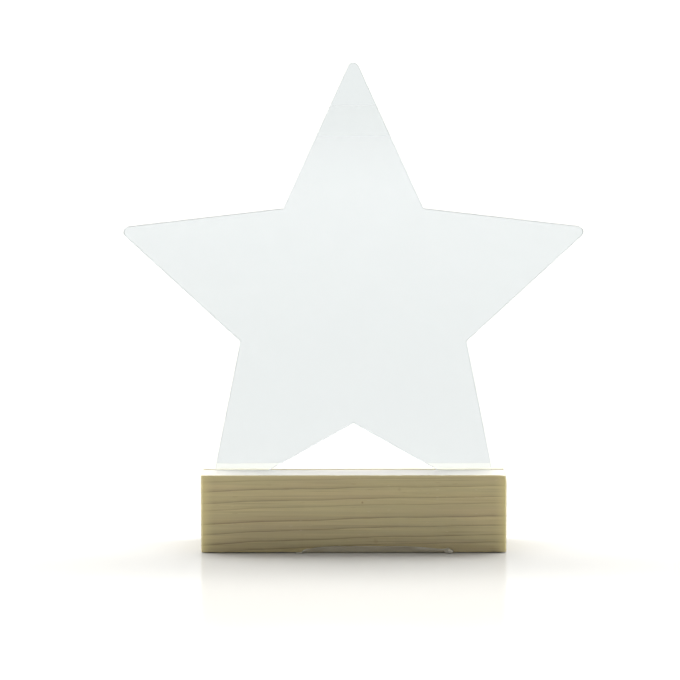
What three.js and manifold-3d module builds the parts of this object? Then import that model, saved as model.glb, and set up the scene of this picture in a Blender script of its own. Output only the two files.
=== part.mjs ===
// Star trophy: a clear acrylic star plate that stands in a groove sawn along a pine base block,
// which rests on a clear grip film whose front edge is turned up over the block's lower edge.
//
// Millimetres, +Z up. The origin is on the surface that the trophy stands on, under the middle
// of the base. +X runs along the base, and -Y is the front. The star's mid-plane is y = 0.

import * as THREE from "three";
import { mergeVertices } from "three/addons/utils/BufferGeometryUtils.js";
import Module from "manifold-3d";

const wasm = await Module();
wasm.setup();

// ---- driving dimensions ----

// Star plate
const STAR_POINTS = 5;
const STAR_RADIUS = 99; // centre to the sharp corner of a point, before it is rounded
const STAR_WAIST_RADIUS = 47.3; // centre to the corner between two points
const STAR_THICKNESS = 5;
const STAR_TIP_ROUND = 2.2; // radius that takes the sharpness off each point
const STAR_EDGE_BREAK = 0.15; // polished chamfer round both faces

// Base block
const BASE_HEIGHT = 30.6;
const BASE_DEPTH = 40;
const BASE_END_MARGIN = 3.05; // from the outer side of a foot to the end of the block
const BASE_CORNER_ROUND = 1; // the four upright edges
const BASE_EDGE_ROUND = 0.5; // the edges round the top and the underside

// Groove, and how the star's two lower points stand in it
const SEAT_DEPTH = 12; // how far the feet reach below the top of the block
const SEAT_FLOOR_GAP = 0.2; // from the feet to the groove's floor
const GROOVE_SIDE_CLEARANCE = 0.15; // on each face of the plate

// Grip film
const FILM_THICKNESS = 0.25;
const FILM_LEFT = 22.6; // how far it reaches each way from the middle of the base
const FILM_RIGHT = 39.3;
const FILM_REAR_MARGIN = 3; // from its rear edge to the back of the block
const FILM_BEND_EASE = 0.2; // how much wider the fold's inside is than the block's rounded edge
const FILM_LIP_GAP = 0.3; // from the turned-up lip to the block's face
const LIP_CREST_HEIGHT = 2.7; // highest part of the lip, above the surface underneath
const LIP_CREST_X = 18;
const LIP_LEFT_HEIGHT = 0.9;
const LIP_RIGHT_HEIGHT = 1.4;
const LIP_CREST_EASE = 0.5; // how much of each side stays level with the crest
const LIP_END_EASE = 0.3; // and how much bends at its outer end

// Fineness of the rounded stretches
const TIP_SEGMENTS = 14;
const CORNER_SEGMENTS = 8;
const EDGE_SEGMENTS = 4;
const CUT_OVERRUN = 5; // how far a cutting tool runs past the work

// ---- derived sizes ----

const POINT_STEP = (2 * Math.PI) / STAR_POINTS;
const HALF_STEP = POINT_STEP / 2;
// Half of the angle between the two sides of a point.
const POINT_HALF_ANGLE = Math.atan2(
  STAR_WAIST_RADIUS * Math.sin(HALF_STEP),
  STAR_RADIUS - STAR_WAIST_RADIUS * Math.cos(HALF_STEP),
);
// Centre of a point's rounding, from the star's centre.
const TIP_CENTRE_RADIUS = STAR_RADIUS - STAR_TIP_ROUND / Math.sin(POINT_HALF_ANGLE);
// The two lower points lean out by half a step from straight down.
const FOOT_DROP = TIP_CENTRE_RADIUS * Math.cos(HALF_STEP) + STAR_TIP_ROUND;
const FOOT_REACH = TIP_CENTRE_RADIUS * Math.sin(HALF_STEP) + STAR_TIP_ROUND;

const BASE_LENGTH = 2 * (FOOT_REACH + BASE_END_MARGIN);
const BASE_BOTTOM = FILM_THICKNESS;
const BASE_TOP = BASE_BOTTOM + BASE_HEIGHT;
const BASE_FRONT = -BASE_DEPTH / 2;
const GROOVE_WIDTH = STAR_THICKNESS + 2 * GROOVE_SIDE_CLEARANCE;
const GROOVE_DEPTH = SEAT_DEPTH + SEAT_FLOOR_GAP;
const STAR_CENTRE_Z = BASE_TOP - SEAT_DEPTH + FOOT_DROP;
const FILM_BEND_RADIUS = BASE_EDGE_ROUND + FILM_BEND_EASE; // inside of the fold

// ---- materials ----

const clearAcrylic = new THREE.MeshStandardMaterial({
  color: 0xe4ebea,
  roughness: 0.05,
  metalness: 0,
  transparent: true,
  opacity: 0.35,
});
const pine = new THREE.MeshStandardMaterial({ color: 0xd9bf8c, roughness: 0.62, metalness: 0 });
const clearFilm = new THREE.MeshStandardMaterial({
  color: 0xaeb2aa,
  roughness: 0.25,
  metalness: 0,
  transparent: true,
  opacity: 0.5,
});

// ---- cutting and joining ----

// A closed geometry as a solid that can be cut, with its shared vertices merged.
function solidFrom(geometry) {
  const bare = geometry.clone();
  bare.deleteAttribute("normal");
  bare.deleteAttribute("uv");
  const merged = mergeVertices(bare, 1e-4);
  return new wasm.Manifold(
    new wasm.Mesh({
      numProp: 3,
      vertProperties: new Float32Array(merged.attributes.position.array),
      triVerts: new Uint32Array(merged.index.array),
    }),
  );
}

function geometryFrom(solid) {
  const mesh = solid.getMesh();
  const geometry = new THREE.BufferGeometry();
  geometry.setAttribute("position", new THREE.BufferAttribute(mesh.vertProperties, 3));
  geometry.setIndex(new THREE.BufferAttribute(mesh.triVerts, 1));
  geometry.computeVertexNormals();
  return geometry;
}

function namedMesh(name, geometry, material) {
  const mesh = new THREE.Mesh(geometry, material);
  mesh.name = name;
  return mesh;
}

// ---- star plate ----

// The star's outline, counter-clockwise from the top point.
function starOutline() {
  const outline = new THREE.Shape();
  const halfTurn = Math.PI / 2 - POINT_HALF_ANGLE; // of a point's rounding, each way from its middle
  for (let i = 0; i < STAR_POINTS; i++) {
    const axis = Math.PI / 2 + i * POINT_STEP;
    const waist = axis + HALF_STEP;
    outline.absarc(
      TIP_CENTRE_RADIUS * Math.cos(axis),
      TIP_CENTRE_RADIUS * Math.sin(axis),
      STAR_TIP_ROUND,
      axis - halfTurn,
      axis + halfTurn,
      false,
    );
    outline.lineTo(STAR_WAIST_RADIUS * Math.cos(waist), STAR_WAIST_RADIUS * Math.sin(waist));
  }
  outline.closePath();
  return outline;
}

function starPlate() {
  const geometry = new THREE.ExtrudeGeometry(starOutline(), {
    depth: STAR_THICKNESS - 2 * STAR_EDGE_BREAK,
    bevelEnabled: true,
    bevelThickness: STAR_EDGE_BREAK,
    bevelSize: STAR_EDGE_BREAK,
    bevelOffset: -STAR_EDGE_BREAK,
    bevelSegments: 1,
    curveSegments: TIP_SEGMENTS,
  });
  geometry.translate(0, 0, STAR_EDGE_BREAK - STAR_THICKNESS / 2);
  const mesh = namedMesh("star_plate", geometry, clearAcrylic);
  mesh.rotation.x = Math.PI / 2;
  mesh.position.z = STAR_CENTRE_Z;
  return mesh;
}

// ---- base block ----

function roundedRectangle(length, depth, radius) {
  const x = length / 2 - radius;
  const y = depth / 2 - radius;
  const shape = new THREE.Shape();
  shape.absarc(x, y, radius, 0, Math.PI / 2, false);
  shape.absarc(-x, y, radius, Math.PI / 2, Math.PI, false);
  shape.absarc(-x, -y, radius, Math.PI, 1.5 * Math.PI, false);
  shape.absarc(x, -y, radius, 1.5 * Math.PI, 2 * Math.PI, false);
  shape.closePath();
  return shape;
}

function baseBlock() {
  const blank = new THREE.ExtrudeGeometry(
    roundedRectangle(BASE_LENGTH, BASE_DEPTH, BASE_CORNER_ROUND),
    {
      depth: BASE_HEIGHT - 2 * BASE_EDGE_ROUND,
      bevelEnabled: true,
      bevelThickness: BASE_EDGE_ROUND,
      bevelSize: BASE_EDGE_ROUND,
      bevelOffset: -BASE_EDGE_ROUND,
      bevelSegments: EDGE_SEGMENTS,
      curveSegments: CORNER_SEGMENTS,
    },
  );
  blank.translate(0, 0, BASE_EDGE_ROUND);
  // The saw cut runs out at both ends of the block.
  const sawCut = new THREE.BoxGeometry(
    BASE_LENGTH + 2 * CUT_OVERRUN,
    GROOVE_WIDTH,
    GROOVE_DEPTH + CUT_OVERRUN,
  );
  sawCut.translate(0, 0, BASE_HEIGHT - GROOVE_DEPTH + (GROOVE_DEPTH + CUT_OVERRUN) / 2);
  const cut = solidFrom(blank).subtract(solidFrom(sawCut));
  const mesh = namedMesh("base_block", geometryFrom(cut), pine);
  mesh.position.z = BASE_BOTTOM;
  return mesh;
}

// ---- grip film ----

// The film's section, seen from the end: flat under the block, then folded up in front of it.
// Its first axis is world Y and its second is world Z.
function filmSection() {
  const lipInside = BASE_FRONT - FILM_LIP_GAP;
  const lipOutside = lipInside - FILM_THICKNESS;
  const bendY = lipInside + FILM_BEND_RADIUS;
  const bendZ = FILM_THICKNESS + FILM_BEND_RADIUS;
  const rear = BASE_DEPTH / 2 - FILM_REAR_MARGIN;
  const top = LIP_CREST_HEIGHT + CUT_OVERRUN;
  const section = new THREE.Shape();
  section.moveTo(rear, 0);
  section.lineTo(rear, FILM_THICKNESS);
  section.absarc(bendY, bendZ, FILM_BEND_RADIUS, 1.5 * Math.PI, Math.PI, true);
  section.lineTo(lipInside, top);
  section.lineTo(lipOutside, top);
  section.absarc(bendY, bendZ, FILM_BEND_RADIUS + FILM_THICKNESS, Math.PI, 1.5 * Math.PI, false);
  section.closePath();
  return section;
}

// What is left of the film seen from the front: a low uneven arch, in world X and Z.
function lipOutline() {
  const outline = new THREE.Shape();
  outline.moveTo(-FILM_LEFT, -CUT_OVERRUN);
  outline.lineTo(FILM_RIGHT, -CUT_OVERRUN);
  outline.lineTo(FILM_RIGHT, LIP_RIGHT_HEIGHT);
  const fall = FILM_RIGHT - LIP_CREST_X;
  outline.bezierCurveTo(
    FILM_RIGHT - LIP_END_EASE * fall,
    LIP_RIGHT_HEIGHT,
    LIP_CREST_X + LIP_CREST_EASE * fall,
    LIP_CREST_HEIGHT,
    LIP_CREST_X,
    LIP_CREST_HEIGHT,
  );
  const rise = LIP_CREST_X + FILM_LEFT;
  outline.bezierCurveTo(
    LIP_CREST_X - LIP_CREST_EASE * rise,
    LIP_CREST_HEIGHT,
    -FILM_LEFT + LIP_END_EASE * rise,
    LIP_CREST_HEIGHT,
    -FILM_LEFT,
    LIP_LEFT_HEIGHT,
  );
  outline.closePath();
  return outline;
}

function gripFilm() {
  const folded = new THREE.ExtrudeGeometry(filmSection(), {
    depth: FILM_LEFT + FILM_RIGHT + 2 * CUT_OVERRUN,
    bevelEnabled: false,
    curveSegments: CORNER_SEGMENTS,
  });
  // Section axes (Y, Z) and the extrusion's Z become world (Y, Z) and X.
  folded.applyMatrix4(new THREE.Matrix4().set(0, 0, 1, 0, 1, 0, 0, 0, 0, 1, 0, 0, 0, 0, 0, 1));
  folded.translate(-FILM_LEFT - CUT_OVERRUN, 0, 0);
  const window = new THREE.ExtrudeGeometry(lipOutline(), {
    depth: BASE_DEPTH + 2 * CUT_OVERRUN,
    bevelEnabled: false,
    curveSegments: CORNER_SEGMENTS,
  });
  window.rotateX(Math.PI / 2);
  window.translate(0, BASE_DEPTH / 2 + CUT_OVERRUN, 0);
  const film = solidFrom(folded).intersect(solidFrom(window));
  return namedMesh("grip_film", geometryFrom(film), clearFilm);
}

// ---- assembly ----

const trophy = new THREE.Group();
trophy.add(baseBlock(), starPlate(), gripFilm());

export default trophy;
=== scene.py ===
"""Star trophy: a clear acrylic star that stands in a groove along a pine block, on a clear film.

Metres, +Z up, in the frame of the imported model. The front faces -Y.
"""

import math
import random

import bpy
import numpy as np
from mathutils import Matrix, Vector, noise


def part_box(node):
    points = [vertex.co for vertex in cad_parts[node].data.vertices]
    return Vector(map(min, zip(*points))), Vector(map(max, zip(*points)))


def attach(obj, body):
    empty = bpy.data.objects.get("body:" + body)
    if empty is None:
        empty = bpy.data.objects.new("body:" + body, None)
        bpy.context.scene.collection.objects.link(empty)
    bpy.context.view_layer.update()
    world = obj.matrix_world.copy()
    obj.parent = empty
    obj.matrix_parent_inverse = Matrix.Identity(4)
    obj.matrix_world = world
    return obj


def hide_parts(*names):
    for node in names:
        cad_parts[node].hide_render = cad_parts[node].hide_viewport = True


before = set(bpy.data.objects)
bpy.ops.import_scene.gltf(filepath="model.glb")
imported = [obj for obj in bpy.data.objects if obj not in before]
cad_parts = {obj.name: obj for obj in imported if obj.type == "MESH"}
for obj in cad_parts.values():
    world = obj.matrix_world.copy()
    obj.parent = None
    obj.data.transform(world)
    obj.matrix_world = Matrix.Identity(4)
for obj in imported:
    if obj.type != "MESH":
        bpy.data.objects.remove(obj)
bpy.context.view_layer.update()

MM = 0.001
BLOCK_LOW, BLOCK_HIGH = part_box("base_block")
STAR_LOW, STAR_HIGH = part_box("star_plate")
FILM_LOW, FILM_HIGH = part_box("grip_film")

# ---- sizes ----

# Pine block
HALF_LENGTH = BLOCK_HIGH.x
HALF_DEPTH = BLOCK_HIGH.y
BLOCK_BOTTOM = BLOCK_LOW.z
BLOCK_TOP = BLOCK_HIGH.z
BLOCK_HEIGHT = BLOCK_TOP - BLOCK_BOTTOM
UPRIGHT_ROUND = 1.0 * MM  # the four upright edges
ARRIS_ROUND = 0.3 * MM  # the edges round the top
FOOT_ROUND = 0.15 * MM  # the edges round the underside
GRID = 0.5 * MM  # spacing of the block's vertices
GROOVE_CLEARANCE = 0.15 * MM
GROOVE_HALF = STAR_HIGH.y + GROOVE_CLEARANCE
GROOVE_FLOOR_GAP = 0.2 * MM
GROOVE_FLOOR = STAR_LOW.z - GROOVE_FLOOR_GAP
GROOVE_FRONT_LIP = 0.2 * MM  # round on the groove's front edge
GROOVE_REAR_LIP = 1.3 * MM  # the groove's rear edge is sanded back this far
GROOVE_REAR_DROP = 0.6 * MM  # and down this far
GROOVE_END_EASE = 0.4  # how far the groove's walls open at the ends, as a share of the ends' rounding
RING_RELIEF = 0.045 * MM  # the hard lines stand this far above the soft wood
RING_RELIEF_LEVEL = 0.35  # how dark the wood is where the planed face keeps its level
FIBRE_RELIEF = 0.018 * MM
SAW_RIPPLE = 0.02 * MM
SAW_PITCH = 0.9 * MM  # spacing of the saw's marks in the groove
ARRIS_WIDTH = 1.0 * MM  # how wide a strip of each edge gets the painted highlight
DENT_SEED = 11
DENTS = 16

# Growth rings. The tree's pith ran along X, above the block, so each ring grows downwards.
PITH_Y = -4 * MM
PITH_ABOVE_TOP = 70 * MM
RING_RISE = 1.7 * MM  # how much the rings climb from the left end to the right, at the top
RING_RISE_MORE = 2.9 * MM  # and how much more than that at the bottom
RING_RISE_POWER = 1.8  # most of the climb is in the left half
RING_WAVES = ((0.13 * MM, 47 * MM, 0.4), (0.05 * MM, 19 * MM, 2.1))  # height, length, phase
# Where each ring ends, up from the floor at the middle of the block's front face, and how dark it is.
RINGS = (
    (41.5, 0.6),
    (37.6, 0.7),
    (33.4, 0.5),
    (29.3, 0.4),
    (25.8, 0.9),
    (21.4, 0.8),
    (18.8, 0.65),
    (13.5, 0.95),
    (9.8, 0.9),
    (5.9, 1.0),
    (2.9, 1.0),
    (-0.8, 0.7),
    (-5.2, 0.7),
)

# Star plate
STAR_POINTS = 5
TIP_ROUND = 2.2 * MM
WAIST_RADIUS = 47.3 * MM
STAR_EDGE_BREAK = 0.05 * MM
TIP_STEPS = 28
EDGE_STEP = 1.5 * MM
CUTTER_RIPPLE = 0.006 * MM  # the cutter leaves the edge this uneven
CUTTER_WAVES = (310, 730, 1270)  # radians per metre
CUTTER_SEED = 5

# Film
FILM_THICKNESS = 0.25 * MM
LIP_THICKNESS = 0.16 * MM
LIP_LEAN = 0.12 * MM  # how far the lip leans out at its top edge
LIP_BEND = 0.75 * MM  # radius of the fold
LIP_ENDS = 0.5 * MM  # the lip's height at its left end
LIP_RISE_SHARE = 0.28  # share of the lip's length over which it rises from its left end
LIP_FALL_SHARE = 0.33  # and over which it falls to the right
CORNER_FLAT = 1.8 * MM  # the left corner lies on the floor for this length
CORNER_TURN = 3.6 * MM  # and turns up over this length
CORNER_REACH = 2.6 * MM  # and reaches this much further than the lip does
CRUMPLE_LENGTH = 3.8 * MM  # the right corner is crumpled
CRUMPLE_REACH = 3.0 * MM  # how far the crumple bulges out
CREASE_LENGTH = 17 * MM  # a crease runs along the lip's top edge up to the crumple
CREASE_REACH = 0.35 * MM
KNOT_RISE = 0.8 * MM  # the crumple stands up in a knot
KNOT_PLACE = 2.1 * MM  # from the film's right end
KNOT_SPREAD = 1.3 * MM
LIP_RIPPLE = 0.1 * MM
# painted glint along the lip's free edge
EDGE_GLINT = 0.45
FILM_COLUMNS = 310
FILM_FLAT_ROWS = 20
FILM_BEND_ROWS = 10
FILM_LIP_ROWS = 26

# ---- camera ----

CAMERA_PLACE = Vector((-0.00536, -1.1738, 0.18075))
CAMERA_PITCH = math.radians(-4.777)
CAMERA_ROLL = math.radians(-0.05)
CAMERA_LENS = 156.17  # on a 36 mm sensor


def make_camera():
    camera = bpy.data.cameras.new("camera")
    camera.lens = CAMERA_LENS
    camera.sensor_width = 36
    camera.clip_start = 0.05
    camera.clip_end = 100
    holder = bpy.data.objects.new("camera", camera)
    level = Matrix.Rotation(math.pi / 2 + CAMERA_PITCH, 4, "X")
    holder.matrix_world = Matrix.Translation(CAMERA_PLACE) @ level @ Matrix.Rotation(CAMERA_ROLL, 4, "Z")
    bpy.context.scene.collection.objects.link(holder)
    bpy.context.scene.camera = holder


# ---- node trees ----


class Graph:
    """A node tree that is built by calls. Each call adds a node and returns its main output."""

    def __init__(self, tree):
        self.tree = tree
        tree.nodes.clear()

    def node(self, kind, inputs=None, **settings):
        made = self.tree.nodes.new(kind)
        for name, value in settings.items():
            setattr(made, name, value)
        for name, value in (inputs or {}).items():
            self.feed(made.inputs[name], value)
        return made

    def feed(self, socket, value):
        if isinstance(value, bpy.types.NodeSocket):
            self.tree.links.new(value, socket)
        elif isinstance(value, (tuple, list)) and len(value) == 3 and socket.type == "RGBA":
            socket.default_value = (*value, 1)
        else:
            socket.default_value = value

    def math(self, operation, a, b=0.0, clamp=False):
        made = self.node("ShaderNodeMath", {0: a, 1: b}, operation=operation, use_clamp=clamp)
        return made.outputs[0]

    def span(self, value, low, high, to_low=0.0, to_high=1.0, smooth=False):
        """value's place between low and high, clamped, and scaled to go from to_low to to_high."""
        inputs = {"Value": value, "From Min": low, "From Max": high, "To Min": to_low, "To Max": to_high}
        kind = "SMOOTHSTEP" if smooth else "LINEAR"
        return self.node("ShaderNodeMapRange", inputs, interpolation_type=kind).outputs["Result"]

    def mix(self, factor, a, b, blend="MIX"):
        made = self.tree.nodes.new("ShaderNodeMix")
        made.data_type = "RGBA"
        made.blend_type = blend
        self.feed(made.inputs[0], factor)
        self.feed(made.inputs[6], a)
        self.feed(made.inputs[7], b)
        return made.outputs[2]

    def scaled(self, vector, x, y, z, shift=0.0):
        inputs = {"Vector": vector, "Scale": (x, y, z), "Location": (shift, shift * 1.7, shift * 2.3)}
        return self.node("ShaderNodeMapping", inputs).outputs[0]

    def noise(self, vector, detail=2.0, roughness=0.5):
        inputs = {"Vector": vector, "Scale": 1.0, "Detail": detail, "Roughness": roughness}
        return self.node("ShaderNodeTexNoise", inputs).outputs[0]

    def attribute(self, name):
        return self.node("ShaderNodeAttribute", attribute_name=name).outputs["Fac"]

    def curve(self, value, points):
        """value through straight lines between points, each (position, height)."""
        made = self.node("ShaderNodeValToRGB", {"Fac": value})
        stops = made.color_ramp.elements
        while len(stops) < len(points):
            stops.new(0.5)
        for stop, (position, height) in zip(stops, points):
            stop.position = position
            stop.color = (height, height, height, 1)
        return made.outputs[0]


def new_material(name):
    material = bpy.data.materials.new(name)
    material.use_nodes = True
    return material, Graph(material.node_tree)


def finish_material(g, shader, volume=None):
    out = g.node("ShaderNodeOutputMaterial", {"Surface": shader.outputs[0]})
    if volume:
        g.tree.links.new(volume.outputs[0], out.inputs["Volume"])


# ---- growth rings, as numbers for the mesh and as nodes for the material ----

PITH_Z = BLOCK_TOP + PITH_ABOVE_TOP


def ring_lift(x, z):
    """How far the rings have climbed at x, in metres."""
    along = np.clip((x + HALF_LENGTH) / (2 * HALF_LENGTH), 0, 1)
    down = 1 - (z - BLOCK_BOTTOM) / BLOCK_HEIGHT
    lift = (RING_RISE + RING_RISE_MORE * down) * (1 - (1 - along) ** RING_RISE_POWER)
    for height, length, phase in RING_WAVES:
        lift = lift + height * np.sin(x * 2 * math.pi / length + phase)
    return lift


def ring_radius(x, y, z):
    """Distance from the pith, with the rings' climb taken out."""
    return np.hypot(y - PITH_Y, PITH_Z + ring_lift(x, z) - z)


RING_MARKS = [float(ring_radius(0.0, -HALF_DEPTH, height * MM)) for height, _ in RINGS]
# How dark the wood is across one ring, from its spring wood to the hard line that ends it.
RING_PROFILE = (
    (0.0, 0.1),
    (0.02, 0.0),
    (0.45, 0.05),
    (0.74, 0.2),
    (0.9, 0.45),
    (0.96, 1.0),
    (0.985, 0.95),
    (1.0, 0.1),
)


def latewood(x, y, z):
    """0 in spring wood to 1 on the line that ends a ring."""
    count = np.interp(ring_radius(x, y, z), RING_MARKS, range(len(RING_MARKS)))
    places, heights = zip(*RING_PROFILE)
    return np.interp(count % 1.0, places, heights)


def ring_nodes(g, place):
    """(how dark the ring is, darkness across it) at a place in the block, as latewood() gives them."""
    axes = g.node("ShaderNodeSeparateXYZ", {0: place})
    x, y, z = axes.outputs
    along = g.span(x, -HALF_LENGTH, HALF_LENGTH)
    climb = g.math("SUBTRACT", 1.0, g.math("POWER", g.math("SUBTRACT", 1.0, along), RING_RISE_POWER))
    height_to_rise = {
        "Value": z,
        "From Min": BLOCK_TOP,
        "From Max": BLOCK_BOTTOM,
        "To Min": RING_RISE,
        "To Max": RING_RISE + RING_RISE_MORE,
    }
    down = g.node("ShaderNodeMapRange", height_to_rise, clamp=False).outputs["Result"]
    lift = g.math("MULTIPLY", climb, down)
    for height, length, phase in RING_WAVES:
        turn = g.node("ShaderNodeMath", {0: x, 1: 2 * math.pi / length, 2: phase}, operation="MULTIPLY_ADD")
        lift = g.math("ADD", lift, g.math("MULTIPLY", g.math("SINE", turn.outputs[0]), height))
    drop = g.math("SUBTRACT", g.math("ADD", lift, PITH_Z), z)
    aside = g.math("SUBTRACT", y, PITH_Y)
    radius = g.math("SQRT", g.math("ADD", g.math("MULTIPLY", aside, aside), g.math("MULTIPLY", drop, drop)))
    # The lines wander a little between the fibres.
    wander = g.noise(g.scaled(place, 22, 260, 260), detail=3, roughness=0.6)
    ragged = g.noise(g.scaled(place, 90, 1400, 1400), detail=2)
    radius = g.math("ADD", radius, g.span(wander, 0.25, 0.75, -0.16 * MM, 0.16 * MM))
    radius = g.math("ADD", radius, g.span(ragged, 0.25, 0.75, -0.07 * MM, 0.07 * MM))
    count = 0.0
    strength = RINGS[1][1]
    for i in range(len(RINGS) - 1):
        passed = g.span(radius, RING_MARKS[i], RING_MARKS[i + 1])
        count = g.math("ADD", count, passed)
        if i:
            step = g.math("MULTIPLY", g.math("GREATER_THAN", passed, 0.0), RINGS[i + 1][1] - RINGS[i][1])
            strength = g.math("ADD", strength, step)
    return strength, g.curve(g.math("FRACT", count), RING_PROFILE)


# ---- materials ----

SPRING_WOOD = (0.664, 0.556, 0.264)
SUMMER_WOOD = (0.325, 0.232, 0.088)
RESIN = (0.36, 0.22, 0.09)
PALE_FIBRE = (0.85, 0.74, 0.46)
ROSY_WOOD = (0.78, 0.52, 0.34)
GREENISH_WOOD = (0.70, 0.68, 0.36)
# painted highlight: the colour the ends are painted towards
END_HIGHLIGHT_WOOD = (0.90, 0.77, 0.34)
# painted highlight: the colour the top is painted towards
TOP_HIGHLIGHT_WOOD = (0.96, 0.93, 0.86)
# painted highlight: the colour the edges are painted towards
EDGE_HIGHLIGHT_WOOD = (0.93, 0.80, 0.44)
# painted light: the groove's colour, paler to lift the shade in it
GROOVE_PAINTED_LIGHT = (0.90, 0.82, 0.62)
END_HIGHLIGHT_LENGTH = 5.5 * MM  # painted highlight: the block is painted paler over this much of each end
END_HIGHLIGHT_FULL = 0.8 * MM  # and is palest over the last of it
# Pin knots on the front face, in mm: place along the block, height above the floor, radius, darkness.
PIPS = ((3.4, 20.0, 0.6, 0.75), (18.0, 25.2, 0.9, 0.25), (8.7, 4.6, 1.2, 0.30))

ACRYLIC_TINT = (0.727, 0.761, 0.786)
ACRYLIC_DEPTH_TINT = (0.62, 0.88, 0.84)  # seen only through a long way of plastic, such as edge to edge
ACRYLIC_POLISH = 0.012
ACRYLIC_EDGE_FROST = 0.42

CLEAR_FILM = (0.79, 0.73, 0.59)
CLOUDED_FILM = (0.88, 0.83, 0.70)
# white of stretched film, also used for the painted glints
WHITE_AND_GLINT_FILM = (0.98, 0.96, 0.88)

FLOOR_COLOUR = (0.634, 0.627, 0.625)


def pine_material():
    """Planed light pine: growth rings, fibres, pin knots, and painted light: paler ends, a paler top,
    lighter edges and a paler groove.
    """
    material, g = new_material("pine")
    place = g.node("ShaderNodeTexCoord").outputs["Object"]
    facing = g.node("ShaderNodeSeparateXYZ", {0: g.node("ShaderNodeTexCoord").outputs["Normal"]})
    end_grain = g.span(g.math("ABSOLUTE", facing.outputs[0]), 0.6, 0.95, smooth=True)
    side_grain = g.math("SUBTRACT", 1.0, end_grain)

    strength, dark = ring_nodes(g, place)
    along_ring = g.noise(g.scaled(place, 14, 90, 90, 3.1), detail=2)
    strength = g.math("MULTIPLY", strength, g.span(along_ring, 0.3, 0.7, 0.80, 1.30))
    dark = g.math("MULTIPLY", dark, strength, clamp=True)
    colour = g.mix(dark, SPRING_WOOD, SUMMER_WOOD)

    # Fibres run along X, from hair-fine streaks to broad bands.
    hair = g.noise(g.scaled(place, 30, 3600, 3600), detail=2)
    streak = g.noise(g.scaled(place, 16, 900, 900, 5.0), detail=3, roughness=0.6)
    band = g.noise(g.scaled(place, 5, 150, 150, 9.0), detail=2)
    cloud = g.noise(g.scaled(place, 34, 34, 34, 2.0), detail=3)
    tone = g.span(hair, 0.3, 0.7, 0.945, 1.03)
    tone = g.math("MULTIPLY", tone, g.span(streak, 0.25, 0.75, 0.865, 1.09))
    tone = g.math("MULTIPLY", tone, g.span(band, 0.3, 0.7, 0.95, 1.04))
    tone = g.math("MULTIPLY", tone, g.span(cloud, 0.3, 0.7, 0.97, 1.03))
    tone = g.math("MULTIPLY", tone, g.span(end_grain, 0, 1, 1.0, 0.84))
    grey = g.node("ShaderNodeCombineColor", {0: tone, 1: tone, 2: tone}).outputs[0]
    colour = g.mix(1.0, colour, grey, "MULTIPLY")

    # Broken fine lines, thinner than the rings.
    thread = g.noise(g.scaled(place, 20, 1500, 1500, 7.0), detail=2, roughness=0.4)
    patch = g.noise(g.scaled(place, 26, 160, 160, 5.5), detail=1)
    thread = g.math("MULTIPLY", g.span(thread, 0.56, 0.66), g.span(patch, 0.35, 0.6))
    colour = g.mix(g.math("MULTIPLY", thread, 0.40), colour, SUMMER_WOOD)

    # Rosy and greenish drifts, as fresh softwood has.
    drift = g.noise(g.scaled(place, 18, 120, 120, 12.0), detail=2)
    colour = g.mix(g.span(drift, 0.42, 0.68, 0.0, 0.10), colour, ROSY_WOOD)
    colour = g.mix(g.span(drift, 0.55, 0.3, 0.0, 0.08), colour, GREENISH_WOOD)

    # Resin canals: short dark dashes along the fibres. Torn fibres: pale ones.
    canal, canal_key = dashes(g, place, 150, 2100, 0.0)
    canal = g.math("MULTIPLY", g.span(canal, 0.24, 0.1), g.span(canal_key, 0.86, 1.0))
    colour = g.mix(g.math("MULTIPLY", canal, 0.6), colour, RESIN)
    fleck, fleck_key = dashes(g, place, 260, 1500, 4.4)
    fleck = g.math("MULTIPLY", g.span(fleck, 0.24, 0.08), g.math("GREATER_THAN", fleck_key, 0.93))
    colour = g.mix(g.math("MULTIPLY", fleck, 0.35), colour, PALE_FIBRE)
    for along, height, radius, darkness in PIPS:
        near = {0: place, 1: (along * MM, -HALF_DEPTH, height * MM)}
        far = g.node("ShaderNodeVectorMath", near, operation="DISTANCE").outputs["Value"]
        pip = g.span(far, radius * MM, 0.25 * radius * MM, 0.0, darkness)
        colour = g.mix(pip, colour, RESIN)

    # Rays show on the ends only, as fine spokes from the pith.
    x, y, z = g.node("ShaderNodeSeparateXYZ", {0: place}).outputs
    spoke = g.math("ARCTAN2", g.math("SUBTRACT", y, PITH_Y), g.math("SUBTRACT", PITH_Z, z))
    around = g.math("MULTIPLY", spoke, 420.0)
    outward = g.math("MULTIPLY", z, 90.0)
    spokes = g.node("ShaderNodeCombineXYZ", {0: around, 1: outward}).outputs[0]
    ray = g.noise(spokes, detail=2)
    ray = g.math("MULTIPLY", g.span(ray, 0.52, 0.68, 0.0, 0.28), end_grain)
    colour = g.mix(ray, colour, SUMMER_WOOD)

    # Painted highlight: the sides, top and underside are painted paler towards the ends, where the rounded
    # upright edges catch the light.
    near_end = g.span(g.math("ABSOLUTE", x), HALF_LENGTH - END_HIGHLIGHT_LENGTH, HALF_LENGTH - END_HIGHLIGHT_FULL)
    near_end = g.math("MULTIPLY", g.math("POWER", near_end, 1.6), side_grain)
    colour = g.mix(g.math("MULTIPLY", near_end, 0.72), colour, END_HIGHLIGHT_WOOD)

    # Painted light: the top is painted paler, as the light falls brightest there; the edges get a painted
    # highlight, and the groove is painted paler to lift its shade. The saw left the groove rougher.
    up = g.span(facing.outputs[2], 0.8, 0.97, smooth=True)
    colour = g.mix(g.math("MULTIPLY", up, 0.85), colour, TOP_HIGHLIGHT_WOOD)
    edge_highlight = g.math("MULTIPLY", g.attribute("arris"), side_grain)
    sawn = g.math("MULTIPLY", g.attribute("sawn"), side_grain)
    # Painted highlight: the edges are painted lighter where they catch the light; they are also a little
    # smoother.
    colour = g.mix(g.math("MULTIPLY", edge_highlight, 0.65), colour, EDGE_HIGHLIGHT_WOOD)
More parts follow.
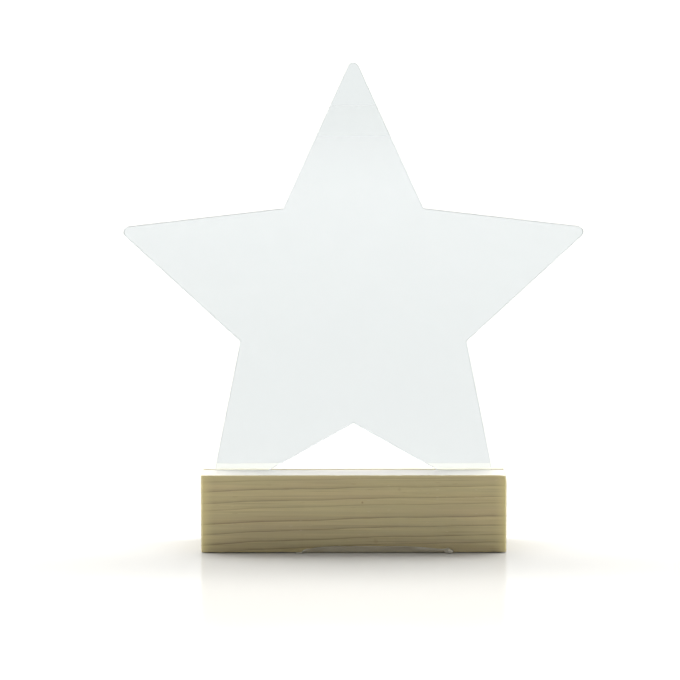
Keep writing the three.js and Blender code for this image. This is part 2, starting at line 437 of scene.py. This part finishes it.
    # Painted light: the groove is painted paler to lift its shade.
    colour = g.mix(g.math("MULTIPLY", sawn, 0.75), colour, GROOVE_PAINTED_LIGHT)

    roughness = g.span(dark, 0, 1, 0.50, 0.40)
    roughness = g.math("ADD", roughness, g.span(streak, 0.3, 0.7, -0.05, 0.05))
    roughness = g.math("SUBTRACT", roughness, g.math("MULTIPLY", edge_highlight, 0.10))
    roughness = g.math("ADD", roughness, g.math("MULTIPLY", sawn, 0.14))

    # Saw marks slant across the groove's walls, a little under 1 mm apart.
    slant = g.math("ADD", g.math("MULTIPLY", x, 7400.0), g.math("MULTIPLY", z, 2600.0))
    saw_mark = g.math("MULTIPLY", g.math("SINE", slant), sawn)
    height = g.math("ADD", g.math("MULTIPLY", hair, 0.45), g.math("MULTIPLY", streak, 0.7))
    height = g.math("ADD", height, g.math("MULTIPLY", dark, 0.35))
    height = g.math("SUBTRACT", height, g.math("MULTIPLY", canal, 0.9))
    height = g.math("ADD", height, g.math("MULTIPLY", saw_mark, 0.35))
    bump = g.node("ShaderNodeBump", {"Height": height, "Strength": 0.55, "Distance": 0.09 * MM})

    shader = g.node(
        "ShaderNodeBsdfPrincipled",
        {
            "Base Color": colour,
            "Roughness": roughness,
            "Normal": bump.outputs[0],
            "IOR": 1.5,
            "Coat Weight": 0.9,
            "Coat Roughness": 0.18,
            "Sheen Weight": 0.45,
            "Sheen Roughness": 0.4,
        },
    )
    finish_material(g, shader)
    return material


def dashes(g, place, along, across, shift):
    """(distance from the nearest dash, that dash's random key), for dashes that lie along X."""
    inputs = {"Vector": g.scaled(place, along, across, across, shift), "Scale": 1.0}
    cells = g.node("ShaderNodeTexVoronoi", inputs)
    key = g.node("ShaderNodeSeparateColor", {0: cells.outputs["Color"]}).outputs[0]
    return cells.outputs["Distance"], key


def acrylic_material():
    """Clear cast acrylic, with faint smears on the faces and fine cutter lines on the edges."""
    material, g = new_material("clear_acrylic")
    place = g.node("ShaderNodeTexCoord").outputs["Object"]
    facing = g.node("ShaderNodeSeparateXYZ", {0: g.node("ShaderNodeTexCoord").outputs["Normal"]})
    on_edge = g.span(g.math("ABSOLUTE", facing.outputs[1]), 0.9, 0.5, smooth=True)

    smear = g.noise(g.scaled(place, 30, 30, 55), detail=4, roughness=0.65)
    print_lines = g.noise(g.scaled(place, 260, 260, 900, 3.0), detail=2)
    handled = g.math("MULTIPLY", g.span(smear, 0.60, 0.78), g.span(print_lines, 0.45, 0.6))
    scratch = g.noise(g.scaled(place, 900, 900, 14, 8.0), detail=1)
    scratched = g.math("MULTIPLY", g.span(scratch, 0.72, 0.78), 0.06)
    roughness = g.math("ADD", ACRYLIC_POLISH, g.math("MULTIPLY", handled, 0.07))
    roughness = g.math("ADD", roughness, scratched)
    roughness = g.math("ADD", roughness, g.math("MULTIPLY", on_edge, ACRYLIC_EDGE_FROST))

    # A cast sheet is never quite flat, and the cutter leaves lines through the edges.
    swell = g.noise(g.scaled(place, 26, 26, 26, 1.0), detail=1)
    cutter = g.noise(g.scaled(place, 2600, 60, 2600, 6.0), detail=1)
    cutter = g.math("MULTIPLY", cutter, g.math("MULTIPLY", on_edge, 0.35))
    height = g.math("ADD", g.math("MULTIPLY", swell, 0.5), cutter)
    bump = g.node("ShaderNodeBump", {"Height": height, "Strength": 0.25, "Distance": 0.03 * MM})
    shader = g.node(
        "ShaderNodeBsdfPrincipled",
        {
            "Base Color": ACRYLIC_TINT,
            "Roughness": roughness,
            "Normal": bump.outputs[0],
            "IOR": 1.49,
            "Transmission Weight": 1.0,
        },
    )
    volume = g.node("ShaderNodeVolumeAbsorption", {"Color": ACRYLIC_DEPTH_TINT, "Density": 2.0})
    finish_material(g, shader, volume)
    return material


def film_material():
    """Thin clear film, clouded by handling, whitened where it was stretched, with painted glints on its
    free edge and left corner.
    """
    material, g = new_material("clear_film")
    place = g.node("ShaderNodeTexCoord").outputs["Object"]
    haze = g.noise(g.scaled(place, 90, 200, 420), detail=3, roughness=0.6)
    crease = g.noise(g.scaled(place, 260, 900, 900, 4.0), detail=3, roughness=0.6)
    whitened_and_glint = g.attribute("whitened_and_glint")
    colour = g.mix(g.span(haze, 0.35, 0.7), CLEAR_FILM, CLOUDED_FILM)
    # Stress whitening and painted glints share one white.
    colour = g.mix(whitened_and_glint, colour, WHITE_AND_GLINT_FILM)
    roughness = g.span(haze, 0.3, 0.7, 0.14, 0.30)
    roughness = g.math("ADD", roughness, g.math("MULTIPLY", whitened_and_glint, 0.2))
    alpha = g.span(whitened_and_glint, 0, 1, 0.42, 0.9)
    bump = g.node("ShaderNodeBump", {"Height": crease, "Strength": 0.35, "Distance": 0.08 * MM})
    shader = g.node(
        "ShaderNodeBsdfPrincipled",
        {
            "Base Color": colour,
            "Roughness": roughness,
            "Normal": bump.outputs[0],
            "IOR": 1.46,
            "Alpha": alpha,
        },
    )
    finish_material(g, shader)
    return material


def floor_material():
    """Plain pale surface that mirrors what stands on it faintly."""
    material, g = new_material("pale_floor")
    look = {"Base Color": FLOOR_COLOUR, "Roughness": 0.10, "IOR": 1.07}
    shader = g.node("ShaderNodeBsdfPrincipled", look)
    finish_material(g, shader)
    return material


# ---- meshes ----


def add_mesh(name, points, faces, material, flat=()):
    """A mesh object whose faces are smooth, apart from those in flat."""
    mesh = bpy.data.meshes.new(name)
    mesh.from_pydata([tuple(p) for p in points], [], faces)
    mesh.materials.append(material)
    smooth = np.ones(len(faces), bool)
    smooth[list(flat)] = False
    mesh.polygons.foreach_set("use_smooth", smooth)
    mesh.update()
    made = bpy.data.objects.new(name, mesh)
    bpy.context.scene.collection.objects.link(made)
    return made


def tube_faces(rings, around):
    """Walls and both ends of a solid made of rings of around points each.

    Each ring turns counter-clockwise about the direction in which the rings follow each other.
    The ends are the last two faces.
    """
    faces = []
    for i in range(rings - 1):
        a, b = i * around, (i + 1) * around
        for j in range(around):
            k = (j + 1) % around
            faces.append((a + j, a + k, b + k, b + j))
    last = (rings - 1) * around
    return faces + [tuple(range(around))[::-1], tuple(range(last, last + around))]


def arc(centre, radius, start, end, steps):
    """Points on an arc from start to end degrees, both ends included."""
    angles = np.radians(np.linspace(start, end, steps + 1))
    return [(centre[0] + radius * math.cos(a), centre[1] + radius * math.sin(a)) for a in angles]


def line(start, end, step):
    """Points from start to end about step apart, without the ends."""
    count = max(2, round(math.dist(start, end) / step))
    return [tuple(np.array(start) + (np.array(end) - np.array(start)) * i / count) for i in range(1, count)]


def joined(corners, step):
    """A closed loop from stretches of points, with straight runs of points between them."""
    loop = []
    for here, after in zip(corners, corners[1:] + corners[:1]):
        loop += here
        loop += line(here[-1], after[0], step)
    return loop


def block_section():
    """The block's section, front on the left, going round from its lower back corner."""
    back, top, bottom = HALF_DEPTH, BLOCK_TOP, BLOCK_BOTTOM
    r, lip, foot = ARRIS_ROUND, GROOVE_FRONT_LIP, FOOT_ROUND
    sanded = []
    for t in np.linspace(0, 1, 7):
        sanded.append((GROOVE_HALF + GROOVE_REAR_LIP * (1 - t), top - GROOVE_REAR_DROP * t * t))
    corners = [
        arc((back - foot, bottom + foot), foot, -90, 0, 4),
        arc((back - r, top - r), r, 0, 90, 5),
        sanded,
        [(GROOVE_HALF, GROOVE_FLOOR)],
        [(-GROOVE_HALF, GROOVE_FLOOR)],
        arc((-GROOVE_HALF - lip, top - lip), lip, 0, 90, 3),
        arc((-back + r, top - r), r, 90, 180, 5),
        arc((-back + foot, bottom + foot), foot, 180, 270, 4),
    ]
    return np.array(joined(corners, GRID))


def block_stations():
    """Places along the block, closer together where its ends are rounded."""
    inner = HALF_LENGTH - UPRIGHT_ROUND
    turns = np.radians(np.linspace(0, 90, 15))
    ends = inner + UPRIGHT_ROUND * np.sin(turns)
    middle = np.linspace(-inner, inner, round(2 * inner / GRID) + 1)[1:-1]
    return np.concatenate([-ends[::-1], middle, ends])


def rounded_back(distance, radius):
    """How far a surface has drawn back at a distance inside the end of a rounding."""
    inside = np.clip(1 - distance / radius, 0, 1)
    return radius * (1 - math.sqrt(1 - inside * inside))


def dents():
    """Small knocks along the block's long edges: (place, radius, depth)."""
    rng = random.Random(DENT_SEED)
    found = [(Vector((HALF_LENGTH - 0.5 * MM, -HALF_DEPTH + 0.8 * MM, BLOCK_TOP)), 1.5 * MM, 0.55 * MM)]
    for _ in range(DENTS):
        side = rng.choice((-1, 1))
        height = rng.choice((BLOCK_TOP, BLOCK_TOP, BLOCK_BOTTOM))
        place = Vector((rng.uniform(-0.95, 0.95) * HALF_LENGTH, side * HALF_DEPTH, height))
        found.append((place, rng.uniform(0.7, 1.8) * MM, rng.uniform(0.05, 0.16) * MM))
    return found


def make_block(material):
    section = block_section()
    around = len(section)
    in_groove = section[:, 0] > -GROOVE_HALF - GROOVE_FRONT_LIP
    in_groove &= section[:, 0] < GROOVE_HALF + GROOVE_REAR_LIP
    in_groove &= section[:, 1] > GROOVE_FLOOR - MM
    stations = block_stations()
    points = []
    for x in stations:
        inset = HALF_LENGTH - abs(x)
        side = rounded_back(inset, UPRIGHT_ROUND)
        end = rounded_back(inset, ARRIS_ROUND)
        y, z = section[:, 0].copy(), section[:, 1].copy()
        # The sides draw in towards the groove, and the top and the underside towards each other.
        share = np.clip((np.abs(y) - GROOVE_HALF) / (HALF_DEPTH - GROOVE_HALF), 0, 1)
        y = np.sign(y) * (np.abs(y) - share * side)
        middle = (BLOCK_TOP + BLOCK_BOTTOM) / 2
        outer = ~in_groove | (z > BLOCK_TOP - GROOVE_REAR_DROP)
        z = np.where(outer, middle + (z - middle) * (1 - end / (BLOCK_HEIGHT / 2)), z)
        y = np.where(in_groove, y + np.sign(y) * end * GROOVE_END_EASE, y)
        points.append(np.stack([np.full(around, x), y, z], 1))
    points = np.concatenate(points)
    faces = tube_faces(len(stations), around)
    block = add_mesh("pine_block", points, faces, material, (len(faces) - 2, len(faces) - 1))
    mesh = block.data

    normals = np.zeros(len(points) * 3)
    mesh.vertices.foreach_get("normal", normals)
    normals = normals.reshape(-1, 3)
    x, y, z = points.T
    sawn = np.tile(in_groove, len(stations)).astype(float)
    # Planing leaves the hard lines proud of the soft wood between them.
    lift = RING_RELIEF * (latewood(x, y, z) - RING_RELIEF_LEVEL)
    fibre = np.array([noise.noise(Vector((p[0] * 60, p[1] * 1100, p[2] * 1100))) for p in points])
    lift += FIBRE_RELIEF * fibre
    lift += sawn * SAW_RIPPLE * np.sin(x / SAW_PITCH * 2 * math.pi + z * 900)
    for place, radius, depth in dents():
        far = np.linalg.norm(points - np.array(place), axis=1) / radius
        lift -= depth * np.exp(-far * far)
    points = points + normals * lift[:, None]
    mesh.vertices.foreach_set("co", points.ravel())

    # 1 on each plane of the block's outside, falling to 0 beside it. An arris is where two meet.
    level = np.clip(1 - np.abs(z - BLOCK_TOP) / ARRIS_WIDTH, 0, 1)
    level += np.clip(1 - np.abs(z - BLOCK_BOTTOM) / ARRIS_WIDTH, 0, 1)
    side = np.clip(1 - np.abs(np.abs(y) - HALF_DEPTH) / ARRIS_WIDTH, 0, 1)
    end = np.clip(1 - (HALF_LENGTH - np.abs(x)) / ARRIS_WIDTH, 0, 1)
    arris = np.clip(level * side + level * end + side * end, 0, 1)
    for name, values in (("arris", arris), ("sawn", sawn)):
        mesh.attributes.new(name, "FLOAT", "POINT").data.foreach_set("value", values)
    mesh.update()
    return block


def around_centre(centre_z, radius, angle):
    """The point of the star's plane at a radius and an angle from its centre."""
    return np.array((radius * math.cos(angle), centre_z + radius * math.sin(angle)))


def star_outline():
    """(point, outward normal) pairs round the star, counter-clockwise from its top point."""
    step = 2 * math.pi / STAR_POINTS
    # The two points beside the top one reach furthest sideways, and lie this far above level.
    arm_angle = math.radians(18)
    tip_centre = (STAR_HIGH.x - TIP_ROUND) / math.cos(arm_angle)
    centre_z = STAR_HIGH.z - TIP_ROUND - tip_centre
    waists = []
    for i in range(STAR_POINTS):
        angle = math.pi / 2 + (i + 0.5) * step
        waists.append(around_centre(centre_z, WAIST_RADIUS, angle))
    reach = tip_centre - WAIST_RADIUS * math.cos(step / 2)
    half_width = WAIST_RADIUS * math.sin(step / 2)
    outline = []
    for i in range(STAR_POINTS):
        axis = math.pi / 2 + i * step
        centre = around_centre(centre_z, tip_centre, axis)
        turn = math.pi / 2 - lean_of_side(half_width, reach)
        for angle in np.linspace(axis - turn, axis + turn, TIP_STEPS + 1):
            normal = np.array((math.cos(angle), math.sin(angle)))
            outline.append((centre + TIP_ROUND * normal, normal))
        start, normal = outline[-1]
        for x, z in line(start, waists[i], EDGE_STEP):
            outline.append((np.array((x, z)), normal))
        after = axis + step - turn
        next_normal = np.array((math.cos(after), math.sin(after)))
        between = (normal + next_normal) / (1 + float(normal @ next_normal))
        outline.append((waists[i], between))
        next_centre = around_centre(centre_z, tip_centre, axis + step)
        for x, z in line(waists[i], next_centre + TIP_ROUND * next_normal, EDGE_STEP):
            outline.append((np.array((x, z)), next_normal))
    return outline


def lean_of_side(half_width, reach):
    """Angle between a point's axis and its side, which touches the rounding and ends at the waist."""
    return math.atan2(half_width, reach) - math.asin(TIP_ROUND / math.hypot(half_width, reach))


def make_star(material):
    outline = star_outline()
    around = len(outline)
    half = STAR_HIGH.y
    # Across the edge: a quarter round, the edge itself, and a quarter round.
    r = STAR_EDGE_BREAK
    turns = np.radians(np.linspace(0, 90, 6))
    across = [(half - r + r * math.cos(t), -r + r * math.sin(t)) for t in turns]
    across += [(y, 0.0) for y in np.linspace(half - r, r - half, 7)[1:-1]]
    across += [(-y, out) for y, out in across[:6][::-1]]
    rng = random.Random(CUTTER_SEED)
    phases = [rng.uniform(0, 2 * math.pi) for _ in CUTTER_WAVES]
    points = []
    for y, out in across:
        for i, (place, normal) in enumerate(outline):
            far = i * EDGE_STEP
            wave = sum(math.sin(far * k + p) for k, p in zip(CUTTER_WAVES, phases))
            ripple = CUTTER_RIPPLE * wave if abs(y) < half - r / 2 else 0
            spot = place + normal * (out + ripple)
            points.append((spot[0], y, spot[1]))
    faces = tube_faces(len(across), around)
    return add_mesh("acrylic_star", points, faces, material, (len(faces) - 2, len(faces) - 1))


def lip_height(x):
    """Height of the film's free edge above the floor."""
    along = (x - FILM_LOW.x) / (FILM_HIGH.x - FILM_LOW.x)
    rise = 1 - (1 - min(1.0, along / LIP_RISE_SHARE)) ** 2.2
    fall = 0.22 + 0.78 * (1 - (1 - min(1.0, (1 - along) / LIP_FALL_SHARE)) ** 1.35)
    ripple = 0.05 * MM * math.sin(x * 330) + 0.02 * MM * math.sin(x * 910 + 1)
    knot = KNOT_RISE * math.exp(-(((x - FILM_HIGH.x + KNOT_PLACE) / KNOT_SPREAD) ** 2))
    return LIP_ENDS + (FILM_HIGH.z - LIP_ENDS) * rise * fall + ripple + knot


def film_middle(row, x):
    """The middle of the film's thickness, by row from its rear edge to the lip's free edge."""
    floor = FILM_THICKNESS / 2
    front = FILM_LOW.y + FILM_THICKNESS / 2
    height = lip_height(x)
    # At its left corner the lip hasn't turned all the way up, and more of it shows.
    lying = min(1.0, max(0.0, 1 - (x - FILM_LOW.x - CORNER_FLAT) / CORNER_TURN)) ** 1.3
    turn = math.pi / 2 * (1 - 0.98 * lying)
    bend = min(LIP_BEND, height - floor)
    if row < FILM_FLAT_ROWS:
        share = row / FILM_FLAT_ROWS
        return FILM_HIGH.y + (front + bend - FILM_HIGH.y) * share, floor
    if row < FILM_FLAT_ROWS + FILM_BEND_ROWS:
        angle = (row - FILM_FLAT_ROWS) / FILM_BEND_ROWS * turn
        return front + bend - bend * math.sin(angle), floor + bend * (1 - math.cos(angle))
    share = (row - FILM_FLAT_ROWS - FILM_BEND_ROWS) / (FILM_LIP_ROWS - 1)
    length = height - floor - bend + CORNER_REACH * lying
    y = front + bend - bend * math.sin(turn) - length * math.cos(turn) * share
    z = floor + bend * (1 - math.cos(turn)) + length * math.sin(turn) * share
    return y - LIP_LEAN * share * share, z


def make_film(material):
    """The film: flat under the block, folded up over its lower front edge."""
    columns = np.linspace(FILM_LOW.x, FILM_HIGH.x, FILM_COLUMNS)
    rows = FILM_FLAT_ROWS + FILM_BEND_ROWS + FILM_LIP_ROWS
    middles = np.array([[(x, *film_middle(row, x)) for x in columns] for row in range(rows)])
    whiteness = crumple_lip(middles, columns)
    along = np.gradient(middles, axis=1)
    down = np.gradient(middles, axis=0)
    normals = np.cross(along, down)
    normals /= np.linalg.norm(normals, axis=2, keepdims=True)
    rise = np.clip((middles[:, :, 2:] - FILM_THICKNESS) / MM, 0, 1)
    half = (FILM_THICKNESS + (LIP_THICKNESS - FILM_THICKNESS) * rise) / 2
    upper = middles + normals * half
    lower = middles - normals * half
    for side in (upper, lower):
        side[:, :, 2] = np.maximum(side[:, :, 2], 0.0)
    film = shell("film_lip", upper, lower, material)
    # Painted glints along the free edge and on the left corner; white where the film was stretched in the
    # crumple and the crease.
    edge = np.clip((np.arange(rows) - rows + 5) / 3, 0, 1)[:, None] * EDGE_GLINT
    white = np.clip(np.maximum(edge, whiteness), 0, 1)
    white = np.concatenate([white.ravel(), white.ravel()])
    film.data.attributes.new("whitened_and_glint", "FLOAT", "POINT").data.foreach_set("value", white)
    return film


def crumple_lip(middles, columns):
    """Creases and crumples the lip's right end. Gives how white each point of the film is: stress whitening
    where it is bent, and a painted glint on the left corner.
    """
    rows = middles.shape[0]
    share = np.clip((np.arange(rows) - FILM_FLAT_ROWS) / (rows - 1 - FILM_FLAT_ROWS), 0, 1)
    left = np.clip(1 - (columns - FILM_LOW.x - CORNER_FLAT) / CORNER_TURN, 0, 1)
    right = np.clip((columns - FILM_HIGH.x + CRUMPLE_LENGTH) / MM, 0, 1)
    right *= np.clip((FILM_HIGH.x - columns) / (0.6 * MM), 0, 1) ** 0.5
    crease = np.clip((columns - FILM_HIGH.x + CREASE_LENGTH) / (4 * MM), 0, 1) * (1 - right)
    whiteness = np.zeros(middles.shape[:2])
    for i in range(rows):
        bulge = math.sin(math.pi * share[i] ** 0.6)
        top = max(0.0, share[i] - 0.45) / 0.55
        for j in range(middles.shape[1]):
            x, y, z = middles[i, j]
            fold = noise.noise(Vector((x * 900, 0.3, z * 700)))
            ripple = noise.noise(Vector((x * 120, 5.0, z * 200)))
            out = right[j] * bulge * (0.75 + 0.6 * fold) * CRUMPLE_REACH
            out += crease[j] * (math.sin(math.pi * share[i]) - top) * CREASE_REACH
            middles[i, j, 1] -= out + LIP_RIPPLE * ripple * share[i]
            whiteness[i, j] = right[j] * bulge * (0.75 + 0.5 * fold) + crease[j] * top * (0.6 + 0.5 * ripple)
    # Painted glint: the turned-up left corner is painted white.
    return whiteness + share[:, None] * left[None, :]


def shell(name, upper, lower, material):
    """A closed thin body between two grids of points."""
    rows, columns = upper.shape[:2]
    points = np.concatenate([upper.reshape(-1, 3), lower.reshape(-1, 3)])
    under = rows * columns
    faces = []
    for i in range(rows - 1):
        for j in range(columns - 1):
            a = i * columns + j
            b = a + columns
            faces.append((a, a + 1, b + 1, b))
            faces.append((under + a, under + b, under + b + 1, under + a + 1))
    edge = list(range(columns - 1))
    edge += [i * columns + columns - 1 for i in range(rows - 1)]
    edge += [(rows - 1) * columns + j for j in range(columns - 1, 0, -1)]
    edge += [i * columns for i in range(rows - 1, 0, -1)]
    for here, after in zip(edge, edge[1:] + edge[:1]):
        faces.append((after, here, under + here, under + after))
    return add_mesh(name, points, faces, material)


# ---- studio ----

FLOOR_RADIUS = 45.0
FLOOR_SIDES = 96


def make_floor():
    turns = np.linspace(0, 2 * math.pi, FLOOR_SIDES, endpoint=False)
    points = [(FLOOR_RADIUS * math.cos(t), FLOOR_RADIUS * math.sin(t), 0) for t in turns]
    floor = add_mesh("floor", points, [tuple(range(FLOOR_SIDES))], floor_material(), (0,))


# How bright each part of the room is
SOFTBOX = 8.2
BACK_WALL = 1.08
HORIZON = 1.13
ROOM = 0.03
ZENITH_SHARE = 0.22  # straight overhead the softbox is this much of its brightness
LIGHT_COLOUR = (1.0, 1.0, 0.965)


def make_studio_light():
    """A long softbox overhead and behind, a white wall behind, a dark room in front.

    The softbox is dimmer straight overhead. An even band runs round the horizon, so that the
    background is white from every side.
    """
    world = bpy.data.worlds.new("studio")
    bpy.context.scene.world = world
    world.use_nodes = True
    g = Graph(world.node_tree)
    direction = g.node("ShaderNodeTexCoord").outputs["Generated"]
    y, z = g.node("ShaderNodeSeparateXYZ", {0: direction}).outputs[1:]
    across = g.math("SQRT", g.math("ADD", g.math("MULTIPLY", y, y), g.math("MULTIPLY", z, z)))
    across = g.math("MAXIMUM", across, 0.001)
    rise = g.math("DIVIDE", z, across)
    back = g.math("DIVIDE", y, across)
    light = g.span(rise, 0.74, 0.87, BACK_WALL, SOFTBOX, smooth=True)
    light = g.math("MULTIPLY", light, g.span(rise, 0.92, 0.985, 1.0, ZENITH_SHARE, smooth=True))
    light = g.math("MULTIPLY", light, g.span(back, -0.20, -0.08, smooth=True))
    light = g.math("ADD", light, ROOM)
    band = g.span(z, 0.16, 0.115, smooth=True)
    light = g.math("MULTIPLY", light, g.math("SUBTRACT", 1.0, band))
    light = g.math("ADD", light, g.math("MULTIPLY", band, HORIZON))
    background = g.node("ShaderNodeBackground", {"Color": LIGHT_COLOUR, "Strength": light})
    g.node("ShaderNodeOutputWorld", {"Surface": background.outputs[0]})


# ---- assembly ----

make_camera()
make_studio_light()
make_floor()

block = make_block(pine_material())
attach(block, "base")
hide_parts("base_block")

star = make_star(acrylic_material())
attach(star, "star")
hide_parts("star_plate")

film = make_film(film_material())
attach(film, "base")
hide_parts("grip_film")

bpy.context.scene.view_settings.view_transform = "Standard"
